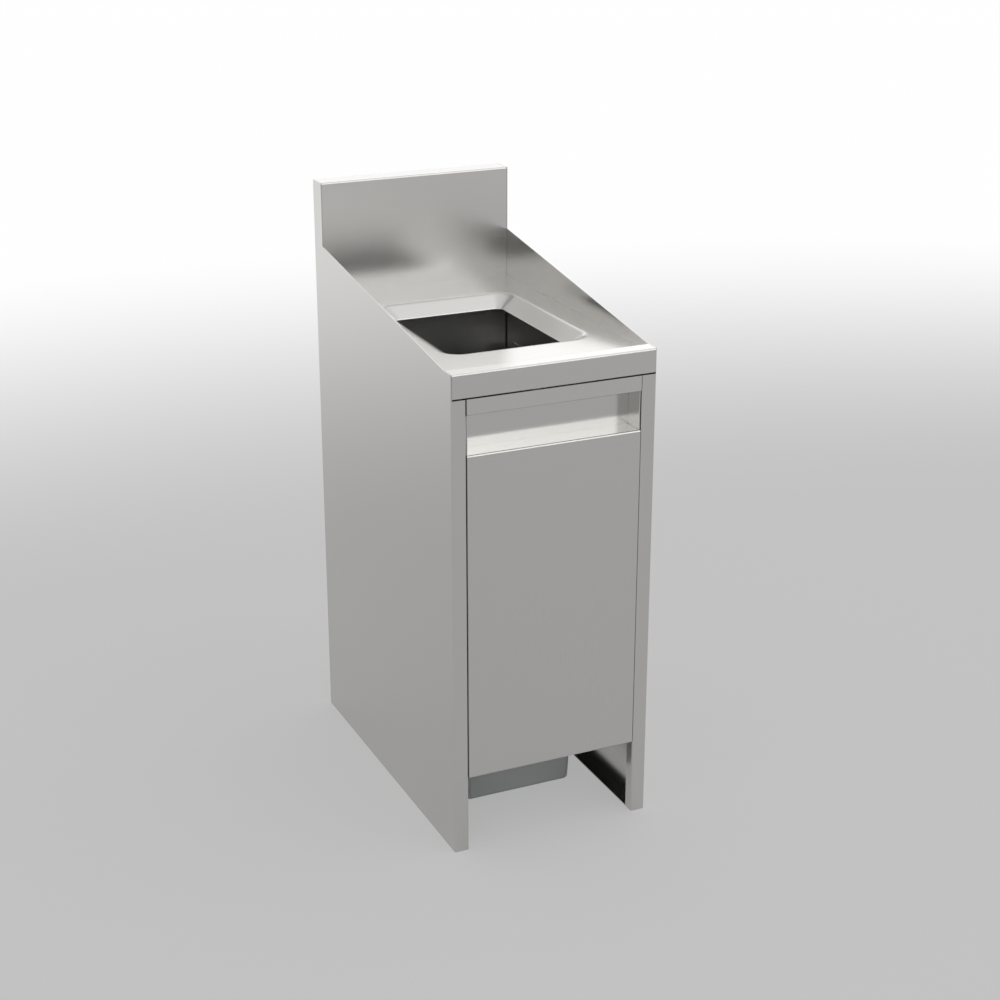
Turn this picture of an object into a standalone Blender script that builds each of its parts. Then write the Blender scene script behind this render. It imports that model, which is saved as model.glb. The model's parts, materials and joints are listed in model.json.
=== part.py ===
"""Stainless bar waste station.

A narrow sheet-metal cabinet with sloped cheeks and a tall upstand. Waste drops through a pressed
funnel in the worktop into a bin, which hangs by its rim in a carrier behind the pull-out front.
The carrier runs on a pair of three-part telescopic ball runners.

+X is to the right, -Y to the front and +Z up. The origin is on the floor under the middle.
"""

import math

import bmesh
import bpy
from mathutils import Matrix, Vector

MM = 0.001

# Overall form
WIDTH = 350 * MM
DEPTH = 600 * MM
FRONT_HEIGHT = 815 * MM
UPSTAND_RISE = 185 * MM
UPSTAND_DEPTH = 41 * MM
CHEEK_RISE = 75 * MM
CHEEK_FLAT = 29 * MM

# Sheet and fits
SHEET = 1.5 * MM
BEND = 1.5 * MM
TIGHT_BEND = 0.4 * MM
SEAT_GAP = 0.3 * MM
SMOOTH_ANGLE = math.radians(32)
ARC_STEP = math.radians(30)
FACET = 3 * MM
CORNER_STEPS = 9
OVERCUT = 5 * MM

# Side panels
STILE_WIDTH = 25 * MM
STILE_RETURN = 20 * MM
REAR_FLANGE = 25 * MM
FLOOR_FLANGE = 24.5 * MM

# Worktop
APRON_HEIGHT = 40 * MM
APRON_RETURN = 15 * MM
SHADOW_GAP = 1.2 * MM
FRONT_EDGE = 29 * MM
WELL_DEPTH = 10 * MM
WELL_STEP = 4 * MM
UPSTAND_DOWNTURN = 30 * MM
CHUTE_SETBACK = 157 * MM
CHUTE_WIDTH = 196 * MM
CHUTE_LENGTH = 263 * MM
CHUTE_CORNER = 10 * MM
CHUTE_LIP = 3 * MM
FUNNEL_RUN = 29 * MM
FUNNEL_DROP = 19 * MM
FUNNEL_CORNER = 34 * MM
FUNNEL_BEND = 16 * MM
FUNNEL_MARGIN = 8 * MM
WELL_MARGIN = 5 * MM

# Cross members and back
RAIL_DEPTH = 35 * MM
RAIL_HEIGHT = 28 * MM
RAIL_SETBACK = 50 * MM
REAR_RAIL_LIFT = 22 * MM
REAR_RAIL_HEIGHT = 36 * MM
REAR_RAIL_DEPTH = 34 * MM
BACK_FLANGE = 20 * MM

# Pull-out front
FRONT_PLAY = 0.8 * MM
FRONT_CLEARANCE = 131.5 * MM
FRONT_THICKNESS = 20 * MM
FASCIA_HEIGHT = 25.8 * MM
RECESS_HEIGHT = 64 * MM
RECESS_DEPTH = 40 * MM
FRONT_HEM = 13 * MM
INNER_SKIN_FLANGE = 15 * MM

# Telescopic runners
RUNNER_LENGTH = 500 * MM
RUNNER_HEIGHT = 45 * MM
RUNNER_THICKNESS = 12.7 * MM
RUNNER_SHEET = 1.2 * MM
RUNNER_BEND = 0.8 * MM
RUNNER_SETBACK = 28 * MM
RUNNER_DROP = 44 * MM
RUNNER_LIP = 1.6 * MM
RUNNER_FLANGE_SET = 2.2 * MM
BALL_DIAMETER = 3 * MM
BALLS_PER_ROW = 5
BALL_SEGMENTS = 8
BALL_RINGS = 6
CAGE_SHEET = 0.6 * MM
CAGE_LENGTH = 200 * MM
CAGE_FLANGE = 7 * MM
BRACKET_FLANGE = 18 * MM
BRACKET_MARGIN = 6 * MM

# Bin carrier
ARM_SHEET = 2 * MM
ARM_HEIGHT = 40 * MM
ARM_LEDGE = 14 * MM
BAR_LEDGE = 12.5 * MM
GUSSET_REACH = 45 * MM

# Bin
BIN_PLAY = 2.5 * MM
BIN_WALL = 2.5 * MM
BIN_RIM = 10 * MM
BIN_RIM_BEND = 2 * MM
BIN_SETBACK = 106 * MM
BIN_LENGTH = 350 * MM
BIN_TAPER = 23.5 * MM
BIN_CORNER = 10 * MM
BIN_FOOT_BEND = 5 * MM
BIN_FLOOR_CLEARANCE = 10 * MM

# Places worked out from the sizes above
FRONT = -DEPTH / 2
REAR = DEPTH / 2
TOP = FRONT_HEIGHT + UPSTAND_RISE
SKIN_INNER = WIDTH / 2 - SHEET
SPAN = SKIN_INNER - SEAT_GAP
SPLASH = REAR - UPSTAND_DEPTH
WELL_TOP = FRONT_HEIGHT - WELL_DEPTH
WELL_UNDER = WELL_TOP - SHEET
STILE_INNER = WIDTH / 2 - STILE_WIDTH
STILE_TOP = FRONT_HEIGHT - APRON_HEIGHT - SHADOW_GAP

FRONT_HALF = STILE_INNER - FRONT_PLAY
FRONT_SHEET_HALF = FRONT_HALF - SEAT_GAP
FRONT_BACK = FRONT + FRONT_THICKNESS
RECESS_TOP = STILE_TOP - FASCIA_HEIGHT
RECESS_SHELF = RECESS_TOP - RECESS_HEIGHT
RECESS_BACK = FRONT + RECESS_DEPTH

CHUTE_HALF = CHUTE_WIDTH / 2
CHUTE_HALF_LENGTH = CHUTE_LENGTH / 2
CHUTE_CENTRE = FRONT + CHUTE_SETBACK + CHUTE_HALF_LENGTH

RUNNER_FRONT = FRONT + RUNNER_SETBACK
RUNNER_REAR = RUNNER_FRONT + RUNNER_LENGTH
RUNNER_LEVEL = RECESS_SHELF - RUNNER_DROP
RUNNER_FACE = STILE_INNER - SEAT_GAP
CARRIER_FACE = RUNNER_FACE - RUNNER_THICKNESS - SEAT_GAP
LEDGE_TOP = RUNNER_LEVEL + ARM_HEIGHT / 2
LEDGE_INNER = CARRIER_FACE - ARM_LEDGE

BIN_REST = LEDGE_TOP + SEAT_GAP
BIN_HALF = LEDGE_INNER - BIN_PLAY
BIN_FRONT = FRONT + BIN_SETBACK
BIN_REAR = BIN_FRONT + BIN_LENGTH
BIN_HALF_LENGTH = BIN_LENGTH / 2
BIN_CENTRE = BIN_FRONT + BIN_HALF_LENGTH
BIN_HEIGHT = BIN_REST - BIN_FLOOR_CLEARANCE

LEFT = -1
RIGHT = 1
SIDES = {"left": LEFT, "right": RIGHT}


# Outlines and sections


def corner_arc(before, corner, after, radius):
    """Points of the arc that rounds one corner of a run."""
    to_before = (before - corner).normalized()
    to_after = (after - corner).normalized()
    half = to_before.angle(to_after) / 2
    start = corner + to_before * (radius / math.tan(half))
    centre = corner + (to_before + to_after).normalized() * (radius / math.sin(half))
    swing = math.pi - 2 * half
    steps = math.ceil(max(swing / ARC_STEP, swing * radius / FACET))
    way = math.copysign(swing / steps, (corner - before).cross(after - corner))
    return [centre + Matrix.Rotation(way * step, 2) @ (start - centre) for step in range(steps + 1)]


def rounded(points, radii):
    """An open run of points with an arc in place of each inner corner."""
    path = [points[0]]
    for before, corner, after, radius in zip(points, points[1:], points[2:], radii):
        path += corner_arc(before, corner, after, radius)
    path.append(points[-1])
    return path


def moved_left(points, distance):
    """An open run of points moved to its left, with sharp corners."""
    runs = [(after - before).normalized() for before, after in zip(points, points[1:])]
    lefts = [Vector((-run.y, run.x)) for run in runs]
    moved = [points[0] + lefts[0] * distance]
    for corner, first, second in zip(points[1:-1], lefts, lefts[1:]):
        moved.append(corner + (first + second) * (distance / (1 + first.dot(second))))
    moved.append(points[-1] + lefts[-1] * distance)
    return moved


def sheet_sides(points, thickness, bends):
    """Both faces of a bent sheet: the one drawn, and the one to the left of it."""
    points = [Vector(point) for point in points]
    corners = zip(points, points[1:], points[2:])
    inside = [(corner - before).cross(after - corner) > 0 for before, corner, after in corners]
    drawn = [bend + thickness * left for bend, left in zip(bends, inside)]
    other = [bend + thickness * (not left) for bend, left in zip(bends, inside)]
    return rounded(points, drawn), rounded(moved_left(points, thickness), other)


def sheet_section(points, thickness=SHEET, bend=BEND, bends=None):
    """Closed outline of a bent sheet, with one inner bend radius or one for each corner."""
    drawn, other = sheet_sides(points, thickness, bends or [bend] * (len(points) - 2))
    return drawn + other[::-1]


def rectangle(low, high):
    return [Vector(low), Vector((high[0], low[1])), Vector(high), Vector((low[0], high[1]))]


def mirrored(outline, side):
    """An outline drawn for the right-hand side, turned over for the left."""
    return [Vector((side * point.x, point.y)) for point in outline]


# Meshes


def in_space(axis, point, along):
    """A point of a section, with the section's plane at a place along its axis."""
    first, second = point
    return {
        "X": Vector((along, first, second)),
        "Y": Vector((first, along, second)),
        "Z": Vector((first, second, along)),
    }[axis]


def prism(outline, axis, start, end):
    """A section drawn out along an axis. An X section is in YZ, a Y one in XZ and a Z one in XY."""
    bm = bmesh.new()
    near = [bm.verts.new(in_space(axis, point, start)) for point in outline]
    far = [bm.verts.new(in_space(axis, point, end)) for point in outline]
    bm.faces.new(near)
    bm.faces.new(far)
    bridge(bm, near, far)
    bmesh.ops.recalc_face_normals(bm, faces=bm.faces)
    return bm


def bridge(bm, first, second):
    """Faces between two closed rings of as many points."""
    for index in range(len(first)):
        bm.faces.new((first[index - 1], first[index], second[index], second[index - 1]))


def ring(bm, half_x, half_y, radius, centre_y, level):
    """A rounded rectangle of new points at one level."""
    points = []
    for quarter, (sign_x, sign_y) in enumerate(((1, 1), (-1, 1), (-1, -1), (1, -1))):
        middle = Vector((sign_x * (half_x - radius), centre_y + sign_y * (half_y - radius), level))
        for step in range(CORNER_STEPS + 1):
            angle = (quarter + step / CORNER_STEPS) * math.pi / 2
            points.append(middle + radius * Vector((math.cos(angle), math.sin(angle), 0)))
    return [bm.verts.new(point) for point in points]


def loft(bm, rings):
    for first, second in zip(rings, rings[1:]):
        bridge(bm, first, second)


# Objects


def material(name, colour, roughness, metallic):
    made = bpy.data.materials.new(name)
    made.use_nodes = True
    shader = made.node_tree.nodes["Principled BSDF"]
    shader.inputs["Base Color"].default_value = (*colour, 1)
    shader.inputs["Roughness"].default_value = roughness
    shader.inputs["Metallic"].default_value = metallic
    return made


def empty(name, place, parent=None):
    obj = bpy.data.objects.new(name, None)
    bpy.context.scene.collection.objects.link(obj)
    obj.parent = parent
    obj.location = place - (parent.location if parent else Vector())
    return obj


def add_object(name, bm, origin, parent):
    """An object of a mesh that was drawn in place, with its own origin."""
    mesh = bpy.data.meshes.new(name)
    bm.transform(Matrix.Translation(-origin))
    bm.to_mesh(mesh)
    bm.free()
    mesh.shade_smooth()
    mesh.set_sharp_from_angle(angle=SMOOTH_ANGLE)
    obj = bpy.data.objects.new(name, mesh)
    bpy.context.scene.collection.objects.link(obj)
    obj.parent = parent
    obj.location = origin - parent.matrix_world.translation
    return obj


def piece(name, bm, finish, parent, origin=None):
    """A sub-part, with its origin on its parent's unless another is given."""
    origin = parent.matrix_world.translation if origin is None else origin
    obj = add_object(name, bm, origin, parent)
    obj.data.materials.append(finish)
    return obj


def reshape(target, operation, bm, name):
    """Joins a helper body to a piece, or cuts the piece with it."""
    helper = add_object(f"{target.name}_{name}", bm, target.parent.matrix_world.translation, target.parent)
    helper.hide_render = True
    helper.display_type = "WIRE"
    modifier = target.modifiers.new(name, "BOOLEAN")
    modifier.operation = operation
    modifier.solver = "EXACT"
    modifier.object = helper


def side_box(side, low, high):
    """A box drawn for the right-hand side, turned over for the left."""
    return prism(mirrored(rectangle(low[:2], high[:2]), side), "Z", low[2], high[2])


# Cabinet


def side_panel(name, side, steel, parent):
    """One sheet: stile with its return, outer skin, rear flange, floor flange and sloped cheek."""
    half = WIDTH / 2
    section = sheet_section(
        [
            (STILE_INNER, FRONT + STILE_RETURN),
            (STILE_INNER, FRONT),
            (half, FRONT),
            (half, REAR),
            (half - REAR_FLANGE, REAR),
        ]
    )
    panel = piece(name, prism(mirrored(section, side), "Z", SEAT_GAP, TOP), steel, parent)
    flange_low = (half - FLOOR_FLANGE, FRONT + SHEET / 2, 0)
    flange_high = (half - SHEET / 2, REAR - SHEET / 2, SHEET)
    reshape(panel, "UNION", side_box(side, flange_low, flange_high), "floor_flange")
    above_cheek = [
        Vector((FRONT - OVERCUT, FRONT_HEIGHT)),
        Vector((FRONT + CHEEK_FLAT, FRONT_HEIGHT)),
        Vector((SPLASH, FRONT_HEIGHT + CHEEK_RISE)),
        Vector((SPLASH, TOP + OVERCUT)),
        Vector((FRONT - OVERCUT, TOP + OVERCUT)),
    ]
    reshape(panel, "DIFFERENCE", prism(above_cheek, "X", -WIDTH, WIDTH), "cheek_cut")
    stile_low = (STILE_INNER - OVERCUT, FRONT - OVERCUT, STILE_TOP)
    stile_high = (SKIN_INNER, FRONT + STILE_RETURN + OVERCUT, TOP)
    reshape(panel, "DIFFERENCE", side_box(side, stile_low, stile_high), "stile_cut")
    rear_low = (half - REAR_FLANGE - OVERCUT, REAR - SHEET - BEND, TOP - UPSTAND_DOWNTURN - SEAT_GAP)
    rear_high = (SKIN_INNER, REAR + OVERCUT, TOP + OVERCUT)
    reshape(panel, "DIFFERENCE", side_box(side, rear_low, rear_high), "rear_cut")
    return panel


def funnel_rings(bm):
    """Rings of the pressed funnel, down its upper face and back up its underside."""
    run = [
        (FUNNEL_RUN + FUNNEL_MARGIN, WELL_TOP),
        (FUNNEL_RUN, WELL_TOP),
        (0, WELL_TOP - FUNNEL_DROP),
        (0, WELL_TOP - FUNNEL_DROP - CHUTE_LIP),
    ]
    upper, under = sheet_sides(run, SHEET, (FUNNEL_BEND, BEND))
    return [
        ring(bm, CHUTE_HALF + reach, CHUTE_HALF_LENGTH + reach, funnel_corner(reach), CHUTE_CENTRE, level)
        for reach, level in upper + under[::-1]
    ]


def funnel_corner(reach):
    """Corner radius of the funnel at a reach outside the chute."""
    return CHUTE_CORNER + (FUNNEL_CORNER - CHUTE_CORNER) * reach / FUNNEL_RUN


def ring_edges(bm, points):
    return [bm.edges.get((points[index - 1], points[index])) for index in range(len(points))]


def worktop_runs():
    """Both faces of the worktop's sheet, behind the funnel and in front of it."""
    reach = CHUTE_HALF_LENGTH + FUNNEL_RUN + FUNNEL_MARGIN + WELL_MARGIN
    rear = [
        (REAR, TOP - UPSTAND_DOWNTURN),
        (REAR, TOP),
        (SPLASH, TOP),
        (SPLASH, WELL_TOP),
        (CHUTE_CENTRE + reach, WELL_TOP),
    ]
    front = [
        (CHUTE_CENTRE - reach, WELL_TOP),
        (FRONT + FRONT_EDGE + WELL_STEP, WELL_TOP),
        (FRONT + FRONT_EDGE, FRONT_HEIGHT),
        (FRONT, FRONT_HEIGHT),
        (FRONT, FRONT_HEIGHT - APRON_HEIGHT),
        (FRONT + APRON_RETURN, FRONT_HEIGHT - APRON_HEIGHT),
    ]
    rear_sides = sheet_sides(rear, SHEET, (BEND, BEND, TIGHT_BEND))
    front_sides = sheet_sides(front, SHEET, (BEND, BEND, BEND, BEND))
    return rear_sides, front_sides


def worktop_mesh():
    """Apron, raised front edge, well with its funnel, splashback and capped upstand in one sheet."""
    (rear_upper, rear_under), (front_upper, front_under) = worktop_runs()
    section = rear_upper + front_upper + front_under[::-1] + rear_under[::-1]
    bm = bmesh.new()
    left = [bm.verts.new(in_space("X", point, -SPAN)) for point in section]
    right = [bm.verts.new(in_space("X", point, SPAN)) for point in section]
    bm.faces.new(left)
    bm.faces.new(right)
    upper_floor = len(rear_upper)
    under_floor = len(rear_upper) + len(front_upper) + len(front_under)
    for index in range(len(section)):
        if index not in (upper_floor, under_floor):
            bm.faces.new((left[index - 1], left[index], right[index], right[index - 1]))
    rings = funnel_rings(bm)
    loft(bm, rings)
    for index, mouth in ((upper_floor, rings[0]), (under_floor, rings[-1])):
        border = [left[index - 1], left[index], right[index], right[index - 1]]
        edges = ring_edges(bm, border) + ring_edges(bm, mouth)
        bmesh.ops.triangle_fill(bm, use_beauty=True, edges=edges)
    bmesh.ops.recalc_face_normals(bm, faces=bm.faces)
    return bm


def back_panel_mesh():
    """The cabinet's rear wall, in line with the splashback, with flanges turned to the rear."""
    section = sheet_section(
        [
            (-SPAN, SPLASH + BACK_FLANGE),
            (-SPAN, SPLASH),
            (SPAN, SPLASH),
            (SPAN, SPLASH + BACK_FLANGE),
        ]
    )
    low = REAR_RAIL_LIFT + REAR_RAIL_HEIGHT + SEAT_GAP
    return prism(section, "Z", low, WELL_UNDER - SEAT_GAP)


def front_rail_mesh():
    """A channel under the worktop that ties the side panels together behind the front."""
    start = FRONT + RAIL_SETBACK
    top = WELL_UNDER - SEAT_GAP
    section = sheet_section(
        [
            (start, top),
            (start, top - RAIL_HEIGHT),
            (start + RAIL_DEPTH, top - RAIL_HEIGHT),
            (start + RAIL_DEPTH, top),
        ]
    )
    return prism(section, "X", -SPAN, SPAN)


def rear_rail_mesh():
    """A channel across the foot of the back, between the back panel's plane and the rear flanges."""
    rear = REAR - SHEET - BEND - SEAT_GAP
    top = REAR_RAIL_LIFT + REAR_RAIL_HEIGHT
    section = sheet_section(
        [
            (rear, REAR_RAIL_LIFT),
            (rear, top),
            (rear - REAR_RAIL_DEPTH, top),
            (rear - REAR_RAIL_DEPTH, REAR_RAIL_LIFT),
        ]
    )
    return prism(section, "X", -SPAN, SPAN)


def bracket_mesh(side):
    """A hat section on the side skin that brings the runner in line with the stile."""
    half = RUNNER_HEIGHT / 2 + BRACKET_MARGIN
    skin = SPAN - SHEET
    face = RUNNER_FACE + SEAT_GAP
    section = sheet_section(
        [
            (skin, RUNNER_LEVEL + half + BRACKET_FLANGE),
            (skin, RUNNER_LEVEL + half),
            (face, RUNNER_LEVEL + half),
            (face, RUNNER_LEVEL - half),
            (skin, RUNNER_LEVEL - half),
            (skin, RUNNER_LEVEL - half - BRACKET_FLANGE),
        ]
    )
    return prism(mirrored(section, side), "Y", RUNNER_FRONT, RUNNER_REAR)


# Pull-out front


def front_panel(steel, parent):
    """Fascia, finger recess and door in one bent sheet, with side flanges."""
    bends = (TIGHT_BEND, BEND, BEND, BEND, BEND, BEND)
    section = sheet_section(
        [
            (FRONT, STILE_TOP),
            (FRONT, RECESS_TOP),
            (RECESS_BACK, RECESS_TOP),
            (RECESS_BACK, RECESS_SHELF),
            (FRONT, RECESS_SHELF),
            (FRONT, FRONT_CLEARANCE),
            (FRONT_BACK, FRONT_CLEARANCE),
            (FRONT_BACK, FRONT_CLEARANCE + FRONT_HEM),
        ],
        bends=bends,
    )
    panel = piece("front_panel", prism(section, "X", -FRONT_SHEET_HALF, FRONT_SHEET_HALF), steel, parent)
    low = (FRONT_HALF - SHEET, FRONT + SHEET / 2, FRONT_CLEARANCE + SHEET / 2)
    high = (FRONT_HALF, FRONT_BACK - SHEET - SEAT_GAP, RECESS_SHELF - SHEET / 2)
    for name, side in SIDES.items():
        reshape(panel, "UNION", side_box(side, low, high), f"{name}_flange")
    return panel


def recess_cap_mesh(side):
    """The plate that closes one end of the finger recess."""
    ceiling = RECESS_TOP - SEAT_GAP
    back = RECESS_BACK - SEAT_GAP
    shelf = RECESS_SHELF + SEAT_GAP
    front = FRONT + BEND + SHEET
    corners = [
        Vector((front, ceiling)),
        Vector((back, ceiling)),
        Vector((back, shelf)),
        Vector((front, shelf)),
    ]
    outline = rounded(corners, (BEND + SEAT_GAP, BEND + SEAT_GAP))
    outer = side * FRONT_SHEET_HALF
    return prism(outline, "X", outer - side * SHEET, outer)


def inner_skin_mesh():
    """The rear face of the front, a shallow tray between the side flanges."""
    half = FRONT_HALF - SHEET - SEAT_GAP
    flange = FRONT_BACK - INNER_SKIN_FLANGE
    section = sheet_section(
        [(-half, flange), (-half, FRONT_BACK), (half, FRONT_BACK), (half, flange)][::-1]
    )
    low = FRONT_CLEARANCE + FRONT_HEM + SEAT_GAP
    return prism(section, "Z", low, RECESS_SHELF - SHEET - SEAT_GAP)


# Runners


def runner_levels():
    """Half heights of the outer flange's inside, the middle member and the inner member."""
    ball_room = BALL_DIAMETER + 2 * SEAT_GAP
    outer_inside = RUNNER_HEIGHT / 2 - RUNNER_SHEET
    middle = outer_inside - ball_room
    inner = middle - RUNNER_SHEET - ball_room
    return outer_inside, middle, inner


def runner_depths():
    """Depths from the mounting face of both cages' webs, the middle web and the inner tips."""
    outer_cage = RUNNER_SHEET + SEAT_GAP
    middle = outer_cage + CAGE_SHEET + SEAT_GAP
    inner_cage = middle + RUNNER_SHEET + SEAT_GAP
    inner_tips = inner_cage + CAGE_SHEET + SEAT_GAP
    return outer_cage, middle, inner_cage, inner_tips


def runner_prism(side, section, start, length):
    """A runner section, drawn as depth and height from the mounting face, drawn out to the rear."""
    placed = [Vector((side * (RUNNER_FACE - point.x), RUNNER_LEVEL + point.y)) for point in section]
    return prism(placed, "Y", start, start + length)


def channel(web, tip, half, thickness):
    """A C section with its web at one depth and its flanges reaching to another."""
    points = [(tip, half), (web, half), (web, -half), (tip, -half)]
    if web > tip:
        points.reverse()
    return sheet_section(points, thickness, RUNNER_BEND)


def runner_outer_mesh(side):
    """The fixed member: a channel with small lips that keep the balls in."""
    half = RUNNER_HEIGHT / 2
    tip = RUNNER_THICKNESS - RUNNER_FLANGE_SET
    lip = half - RUNNER_SHEET - RUNNER_LIP
    points = [(tip, lip), (tip, half), (0, half), (0, -half), (tip, -half), (tip, -lip)]
    section = sheet_section(points, RUNNER_SHEET, RUNNER_BEND)
    return runner_prism(side, section, RUNNER_FRONT, RUNNER_LENGTH)


def runner_middle_mesh(side):
    middle_half = runner_levels()[1]
    web = runner_depths()[1]
    section = channel(web, RUNNER_THICKNESS - RUNNER_SHEET, middle_half, RUNNER_SHEET)
    return runner_prism(side, section, RUNNER_FRONT, RUNNER_LENGTH)


def runner_inner_mesh(side):
    inner_half = runner_levels()[2]
    section = channel(RUNNER_THICKNESS, runner_depths()[3], inner_half, RUNNER_SHEET)
    return runner_prism(side, section, RUNNER_FRONT, RUNNER_LENGTH)


def ball_rows(side, depth, level, start):
    """Two rows of balls, above and below the runner's middle."""
    bm = bmesh.new()
    pitch = CAGE_LENGTH / BALLS_PER_ROW
    for row in (level, -level):
        for index in range(BALLS_PER_ROW):
            along = start + pitch / 2 + index * pitch
            centre = Vector((side * (RUNNER_FACE - depth), along, RUNNER_LEVEL + row))
            bmesh.ops.create_uvsphere(
                bm,
                u_segments=BALL_SEGMENTS,
                v_segments=BALL_RINGS,
                radius=BALL_DIAMETER / 2,
                matrix=Matrix.Translation(centre),
            )
    return bm


def ball_cage(name, side, web, level, steel, parent):
    """A thin channel that spaces the balls, with the balls held in its flanges."""
    start = (RUNNER_FRONT + RUNNER_REAR - CAGE_LENGTH) / 2
    section = channel(web, web + CAGE_FLANGE, level + CAGE_SHEET / 2, CAGE_SHEET)
    cage = piece(name, runner_prism(side, section, start, CAGE_LENGTH), steel, parent)
    balls = ball_rows(side, web + CAGE_FLANGE / 2, level, start)
    reshape(cage, "UNION", balls, "balls")
    return cage


# Bin and its carrier


def arm_mesh(side):
    """An angle on the runner's inner member, with the ledge that the bin's rim rests on."""
    section = sheet_section(
        [
            (CARRIER_FACE, LEDGE_TOP - ARM_HEIGHT),
            (CARRIER_FACE, LEDGE_TOP),
            (LEDGE_INNER, LEDGE_TOP),
        ],
        ARM_SHEET,
    )
    return prism(mirrored(section, side), "Y", FRONT_BACK + SEAT_GAP, RUNNER_REAR)


def carrier_bar_mesh(upright, ledge):
    """An angle between the arms, with its upright at one place and its ledge reaching to another."""
    points = [(upright, LEDGE_TOP - ARM_HEIGHT), (upright, LEDGE_TOP), (ledge, LEDGE_TOP)]
    if ledge > upright:
        points.reverse()
    half = LEDGE_INNER - SEAT_GAP
    return prism(sheet_section(points, ARM_SHEET), "X", -half, half)


def gusset_mesh(side):
    """An upright angle that ties the front's inner skin to a carrier arm, under its ledge."""
    outer = CARRIER_FACE - ARM_SHEET - SEAT_GAP
    front = FRONT_BACK + SEAT_GAP
    section = sheet_section(
        [(outer - GUSSET_REACH, front), (outer, front), (outer, front + GUSSET_REACH)],
        ARM_SHEET,
    )
    top = LEDGE_TOP - ARM_SHEET - BEND - SEAT_GAP
    return prism(mirrored(section, side), "Z", LEDGE_TOP - ARM_HEIGHT, top)


def bin_corner(reach, level):
    """Corner radius of the bin at a reach outside its mouth and a level."""
    wall_reach = -BIN_TAPER * (BIN_REST - level) / BIN_HEIGHT
    return BIN_CORNER + reach - wall_reach


def bin_mesh():
    """A tapered, round-cornered shell with a flat rim, open at the top."""
    foot_span = BIN_FOOT_BEND + BIN_WALL
    run = [
        (-BIN_TAPER - foot_span, BIN_FLOOR_CLEARANCE),
        (-BIN_TAPER, BIN_FLOOR_CLEARANCE),
        (0, BIN_REST),
        (BIN_RIM, BIN_REST),
    ]
    outer, inner = sheet_sides(run, BIN_WALL, (BIN_FOOT_BEND, BIN_RIM_BEND))
    bm = bmesh.new()
    rings = [
        ring(bm, BIN_HALF + reach, BIN_HALF_LENGTH + reach, bin_corner(reach, level), BIN_CENTRE, level)
        for reach, level in outer + inner[::-1]
    ]
    loft(bm, rings)
    bm.faces.new(rings[0])
    bm.faces.new(rings[-1])
    bmesh.ops.recalc_face_normals(bm, faces=bm.faces)
    return bm


# The whole station


def clear_scene():
    for obj in list(bpy.data.objects):
        bpy.data.objects.remove(obj, do_unlink=True)


def finishes():
    return {
        "steel": material("brushed_stainless", (0.60, 0.59, 0.57), 0.30, 1.0),
        "zinc": material("zinc_plate", (0.52, 0.54, 0.56), 0.35, 1.0),
        "ball": material("bearing_steel", (0.66, 0.66, 0.67), 0.18, 1.0),
        "plastic": material("grey_plastic", (0.105, 0.115, 0.112), 0.5, 0.0),
    }


def build_cabinet(finish, carcass):
    steel = finish["steel"]
    piece("worktop", worktop_mesh(), steel, carcass)
    piece("back_panel", back_panel_mesh(), steel, carcass)
    piece("front_top_rail", front_rail_mesh(), steel, carcass)
    piece("rear_bottom_rail", rear_rail_mesh(), steel, carcass)
    for name, side in SIDES.items():
        side_panel(f"{name}_side_panel", side, steel, carcass)
        piece(f"{name}_runner_bracket", bracket_mesh(side), steel, carcass)
        piece(f"{name}_runner_outer", runner_outer_mesh(side), finish["zinc"], carcass)


def build_runner_followers(finish, carcass):
    """The middle members and ball cages, each on an empty that slides along the runner."""
    outer_inside, middle_half, inner_half = runner_levels()
    outer_cage, _, inner_cage, _ = runner_depths()
    outer_row = (outer_inside + middle_half) / 2
    inner_row = (middle_half - RUNNER_SHEET + inner_half) / 2
    for name, side in SIDES.items():
        place = Vector((side * RUNNER_FACE, RUNNER_FRONT, RUNNER_LEVEL))
        middle = empty(f"{name}_middle_slide", place, carcass)
        outer_slide = empty(f"{name}_outer_cage_slide", place, carcass)
        inner_slide = empty(f"{name}_inner_cage_slide", place, carcass)
        bpy.context.view_layer.update()
        piece(f"{name}_runner_middle", runner_middle_mesh(side), finish["zinc"], middle)
        ball_cage(f"{name}_outer_ball_cage", side, outer_cage, outer_row, finish["ball"], outer_slide)
        ball_cage(f"{name}_inner_ball_cage", side, inner_cage, inner_row, finish["ball"], inner_slide)


def build_drawer(finish, drawer):
    steel = finish["steel"]
    front_panel(steel, drawer)
    piece("front_inner_skin", inner_skin_mesh(), steel, drawer)
    front_edge = BIN_FRONT - BIN_PLAY
    rear_edge = BIN_REAR + BIN_PLAY
    piece("carrier_front_bar", carrier_bar_mesh(front_edge - BAR_LEDGE, front_edge), steel, drawer)
    piece("carrier_rear_bar", carrier_bar_mesh(rear_edge + BAR_LEDGE, rear_edge), steel, drawer)
    for name, side in SIDES.items():
        piece(f"{name}_recess_cap", recess_cap_mesh(side), steel, drawer)
        piece(f"{name}_carrier_arm", arm_mesh(side), steel, drawer)
        piece(f"{name}_front_gusset", gusset_mesh(side), steel, drawer)
        piece(f"{name}_runner_inner", runner_inner_mesh(side), finish["zinc"], drawer)


def build():
    clear_scene()
    finish = finishes()
    carcass = empty("carcass", Vector())
    drawer = empty("drawer", Vector((0, FRONT, RUNNER_LEVEL)), carcass)
    lift = empty("bin_lift", Vector((0, BIN_CENTRE, BIN_REST)), carcass)
    bpy.context.view_layer.update()
    build_cabinet(finish, carcass)
    build_runner_followers(finish, carcass)
    build_drawer(finish, drawer)
    piece("waste_bin", bin_mesh(), finish["plastic"], lift)


build()
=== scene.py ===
"""Looks of the stainless waste station: finishes, fine sheets, welds, fasteners, studio and camera."""

import json
import math

import bmesh
import bpy
from mathutils import Matrix, Vector


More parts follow.
